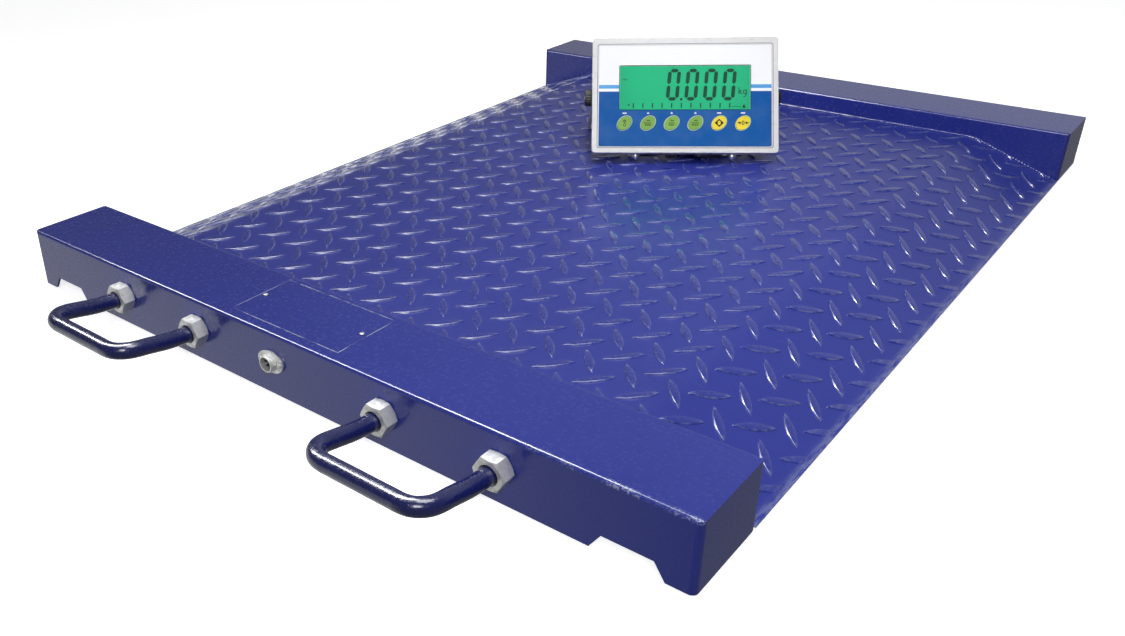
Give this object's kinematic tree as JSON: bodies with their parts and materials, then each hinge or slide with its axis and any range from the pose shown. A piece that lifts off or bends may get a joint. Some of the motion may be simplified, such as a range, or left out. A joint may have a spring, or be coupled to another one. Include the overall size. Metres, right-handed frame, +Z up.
{
  "type": "pallet scale",
  "caption": "Low drive-through platform scale with ramped treadplate deck, side housings, handles, wheels and a separate indicator on a swinging bracket.",
  "frame": {"origin": "on the floor under the middle of the object's box, handles and wheels included and the free cable left out", "axes": "+X along the drive direction, -Y towards the handles, +Y towards the wheels, +Z up"},
  "size_m": [0.9, 1.339, 0.2094],
  "materials": {
    "blue_enamel": "gloss enamel over steel",
    "grey_paint": "satin paint",
    "zinc": "bright zinc plate",
    "steel": "machined steel",
    "aluminium": "machined aluminium",
    "black_plastic": "moulded, fine grain",
    "white_plastic": "moulded, semi-gloss",
    "overlay": "printed polyester film",
    "display": "lit liquid crystal display",
    "window": "clear acrylic",
    "board": "soldermask",
    "key_green": "printed silicone",
    "key_yellow": "printed silicone",
    "tyre": "solid rubber",
    "cable": "flexible PVC jacket"
  },
  "bodies": {
    "platform": {"deck_plate": "blue_enamel", "deck_rib_left": "grey_paint", "deck_rib_centre": "grey_paint", "deck_rib_right": "grey_paint", "housing_handle_side": "blue_enamel", "housing_wheel_side": "blue_enamel", "access_cover": "blue_enamel", "cover_screw_left": "zinc", "cover_screw_right": "zinc", "junction_box": "black_plastic", "summing_board": "board", "socket_shell": "zinc", "socket_insert": "black_plastic", "socket_screw_left": "zinc", "socket_screw_right": "zinc", "handle_left": "blue_enamel", "handle_right": "blue_enamel", "handle_nut_left_outer": "zinc", "handle_nut_left_inner": "zinc", "handle_nut_right_inner": "zinc", "handle_nut_right_outer": "zinc", "load_cell_front_left": "aluminium", "load_cell_front_right": "aluminium", "load_cell_rear_left": "aluminium", "load_cell_rear_right": "aluminium", "wheel_axle_left": "zinc", "wheel_axle_right": "zinc"},
    "head": {"case_rear": "white_plastic", "bezel_front": "white_plastic", "overlay_panel": "overlay", "lcd_window": "window", "lcd_module": "display", "keypad_board": "board", "main_board": "board", "battery": "black_plastic", "bottom_dome_left": "zinc", "bottom_dome_right": "zinc", "gland_blank": "black_plastic", "gland_lead": "black_plastic", "lead_run": "cable", "lead_tail": "cable", "lead_coil": "cable", "lead_plug": "zinc"},
    "bracket": {"bracket": "grey_paint"},
    "foot_front_left": {"foot_front_left": "steel"},
    "foot_front_right": {"foot_front_right": "steel"},
    "foot_rear_left": {"foot_rear_left": "steel"},
    "foot_rear_right": {"foot_rear_right": "steel"},
    "wheel_left": {"wheel_left": "tyre"},
    "wheel_right": {"wheel_right": "tyre"},
    "knob_left": {"knob_left": "black_plastic"},
    "knob_right": {"knob_right": "black_plastic"},
    "key_1": {"key_1": "key_green"},
    "key_2": {"key_2": "key_green"},
    "key_3": {"key_3": "key_green"},
    "key_4": {"key_4": "key_green"},
    "key_5": {"key_5": "key_yellow"},
    "key_6": {"key_6": "key_yellow"}
  },
  "joints": [
    {"name": "foot_front_left_levelling", "type": "slide", "parent": "platform", "child": "foot_front_left", "axis": [0, 0, 1], "range_m": [-0.008, 0.003]},
    {"name": "foot_front_right_levelling", "type": "slide", "parent": "platform", "child": "foot_front_right", "axis": [0, 0, 1], "range_m": [-0.008, 0.003]},
    {"name": "foot_rear_left_levelling", "type": "slide", "parent": "platform", "child": "foot_rear_left", "axis": [0, 0, 1], "range_m": [-0.008, 0.003]},
    {"name": "foot_rear_right_levelling", "type": "slide", "parent": "platform", "child": "foot_rear_right", "axis": [0, 0, 1], "range_m": [-0.008, 0.003]},
    {"name": "wheel_left_spin", "type": "hinge", "parent": "platform", "child": "wheel_left", "pos_m": [-0.235, 0.6395, 0.0345], "axis": [1, 0, 0], "continuous": true},
    {"name": "wheel_right_spin", "type": "hinge", "parent": "platform", "child": "wheel_right", "pos_m": [0.235, 0.6395, 0.0345], "axis": [1, 0, 0], "continuous": true},
    {"name": "indicator_lift_off", "type": "slide", "parent": "platform", "child": "head", "axis": [0, 0, 1], "range_m": [0, 0.3]},
    {"name": "bracket_swing", "type": "hinge", "parent": "head", "child": "bracket", "pos_m": [-0.0027, 0.2411, 0.12583], "axis": [0.8141, 0.5807, 0], "range_deg": [0, 85]},
    {"name": "knob_left_turn", "type": "hinge", "parent": "head", "child": "knob_left", "pos_m": [-0.0027, 0.2411, 0.12583], "axis": [0.8141, 0.5807, 0], "range_deg": [0, 360]},
    {"name": "knob_right_turn", "type": "hinge", "parent": "head", "child": "knob_right", "pos_m": [-0.0027, 0.2411, 0.12583], "axis": [0.8141, 0.5807, 0], "range_deg": [0, 360]},
    {"name": "key_1_press", "type": "slide", "parent": "head", "child": "key_1", "axis": [-0.4898, 0.6866, -0.5373], "range_m": [0, 0.0006], "stiffness_N_per_m": 600, "springref_m": -0.0008},
    {"name": "key_2_press", "type": "slide", "parent": "head", "child": "key_2", "axis": [-0.4898, 0.6866, -0.5373], "range_m": [0, 0.0006], "stiffness_N_per_m": 600, "springref_m": -0.0008},
    {"name": "key_3_press", "type": "slide", "parent": "head", "child": "key_3", "axis": [-0.4898, 0.6866, -0.5373], "range_m": [0, 0.0006], "stiffness_N_per_m": 600, "springref_m": -0.0008},
    {"name": "key_4_press", "type": "slide", "parent": "head", "child": "key_4", "axis": [-0.4898, 0.6866, -0.5373], "range_m": [0, 0.0006], "stiffness_N_per_m": 600, "springref_m": -0.0008},
    {"name": "key_5_press", "type": "slide", "parent": "head", "child": "key_5", "axis": [-0.4898, 0.6866, -0.5373], "range_m": [0, 0.0006], "stiffness_N_per_m": 600, "springref_m": -0.0008},
    {"name": "key_6_press", "type": "slide", "parent": "head", "child": "key_6", "axis": [-0.4898, 0.6866, -0.5373], "range_m": [0, 0.0006], "stiffness_N_per_m": 600, "springref_m": -0.0008}
  ]
}
